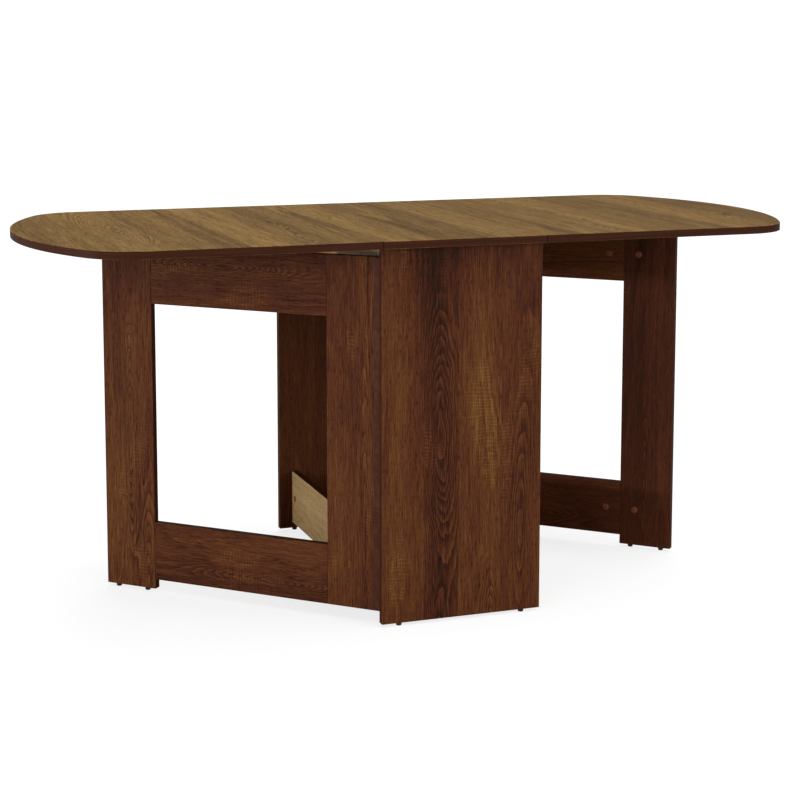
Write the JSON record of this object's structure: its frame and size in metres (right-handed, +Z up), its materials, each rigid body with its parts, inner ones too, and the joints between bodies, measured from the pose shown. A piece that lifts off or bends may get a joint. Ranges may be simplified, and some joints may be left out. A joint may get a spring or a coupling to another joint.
{
  "type": "gateleg table",
  "caption": "Gateleg table with a narrow fixed centre, rounded leaves on hinges and framed gates that swing out under them.",
  "frame": {"origin": "on the floor, under the middle of the table top", "axes": "+Z up; +X along the length, towards the right leaf; +Y across, away from the front panel. In the rest pose both leaves are up and both gates stand open by 47 degrees."},
  "size_m": [1.6, 0.76, 0.75],
  "materials": {
    "base_wood": "dark oak-look board, satin lacquer, vertical or lengthwise grain",
    "top_wood": "dark oak-look board, satin lacquer, grain across the table",
    "cap_plastic": "red-brown satin plastic",
    "glide_plastic": "dark brown matte plastic",
    "hinge_steel": "bronze-brown lacquered steel, satin"
  },
  "bodies": {
    "base": {"back_panel": "base_wood", "back_panel_glide_1": "glide_plastic", "back_panel_glide_2": "glide_plastic", "fixed_top": "top_wood", "front_panel": "base_wood", "front_panel_glide_1": "glide_plastic", "front_panel_glide_2": "glide_plastic", "gate_hinge_left_panel_plate": "hinge_steel", "gate_hinge_left_pin": "hinge_steel", "gate_hinge_right_panel_plate": "hinge_steel", "gate_hinge_right_pin": "hinge_steel", "leaf_hinge_left_back_fixed_plate": "hinge_steel", "leaf_hinge_left_back_pin": "hinge_steel", "leaf_hinge_left_front_fixed_plate": "hinge_steel", "leaf_hinge_left_front_pin": "hinge_steel", "leaf_hinge_right_back_fixed_plate": "hinge_steel", "leaf_hinge_right_back_pin": "hinge_steel", "leaf_hinge_right_front_fixed_plate": "hinge_steel", "leaf_hinge_right_front_pin": "hinge_steel", "lower_stretcher_left": "base_wood", "lower_stretcher_right": "base_wood", "upper_stretcher_left": "base_wood", "upper_stretcher_right": "base_wood"},
    "gate_left": {"gate_hinge_left_gate_plate": "hinge_steel", "gate_left_cam_lower_hinge_stile": "cap_plastic", "gate_left_cam_lower_outer_stile": "cap_plastic", "gate_left_cam_lower_rail_inner": "cap_plastic", "gate_left_cam_lower_rail_outer": "cap_plastic", "gate_left_cam_upper_hinge_stile": "cap_plastic", "gate_left_cam_upper_outer_stile": "cap_plastic", "gate_left_cam_upper_rail_inner": "cap_plastic", "gate_left_cam_upper_rail_outer": "cap_plastic", "gate_left_glide_inner": "glide_plastic", "gate_left_glide_outer": "glide_plastic", "gate_left_hinge_stile": "base_wood", "gate_left_lower_rail": "base_wood", "gate_left_outer_stile": "base_wood", "gate_left_upper_rail": "base_wood"},
    "gate_right": {"gate_hinge_right_gate_plate": "hinge_steel", "gate_right_cam_lower_hinge_stile": "cap_plastic", "gate_right_cam_lower_outer_stile": "cap_plastic", "gate_right_cam_lower_rail_inner": "cap_plastic", "gate_right_cam_lower_rail_outer": "cap_plastic", "gate_right_cam_upper_hinge_stile": "cap_plastic", "gate_right_cam_upper_outer_stile": "cap_plastic", "gate_right_cam_upper_rail_inner": "cap_plastic", "gate_right_cam_upper_rail_outer": "cap_plastic", "gate_right_glide_inner": "glide_plastic", "gate_right_glide_outer": "glide_plastic", "gate_right_hinge_stile": "base_wood", "gate_right_lower_rail": "base_wood", "gate_right_outer_stile": "base_wood", "gate_right_upper_rail": "base_wood"},
    "leaf_left": {"leaf_hinge_left_back_leaf_plate": "hinge_steel", "leaf_hinge_left_front_leaf_plate": "hinge_steel", "leaf_left": "top_wood"},
    "leaf_right": {"leaf_hinge_right_back_leaf_plate": "hinge_steel", "leaf_hinge_right_front_leaf_plate": "hinge_steel", "leaf_right": "top_wood"}
  },
  "joints": [
    {"name": "gate_left_swing", "type": "hinge", "parent": "base", "child": "gate_left", "pos_m": [-0.1606, -0.3452, 0.3715], "axis": [0, 0, 1], "range_deg": [-47, 43]},
    {"name": "gate_right_swing", "type": "hinge", "parent": "base", "child": "gate_right", "pos_m": [0.1606, 0.3452, 0.3715], "axis": [0, 0, 1], "range_deg": [-47, 43]},
    {"name": "leaf_left_lift", "type": "hinge", "parent": "base", "child": "leaf_left", "pos_m": [-0.167, 0, 0.7327], "axis": [0, 1, 0], "range_deg": [0, 2.5]},
    {"name": "leaf_right_lift", "type": "hinge", "parent": "base", "child": "leaf_right", "pos_m": [0.167, 0, 0.7327], "axis": [0, -1, 0], "range_deg": [0, 2.5]}
  ]
}
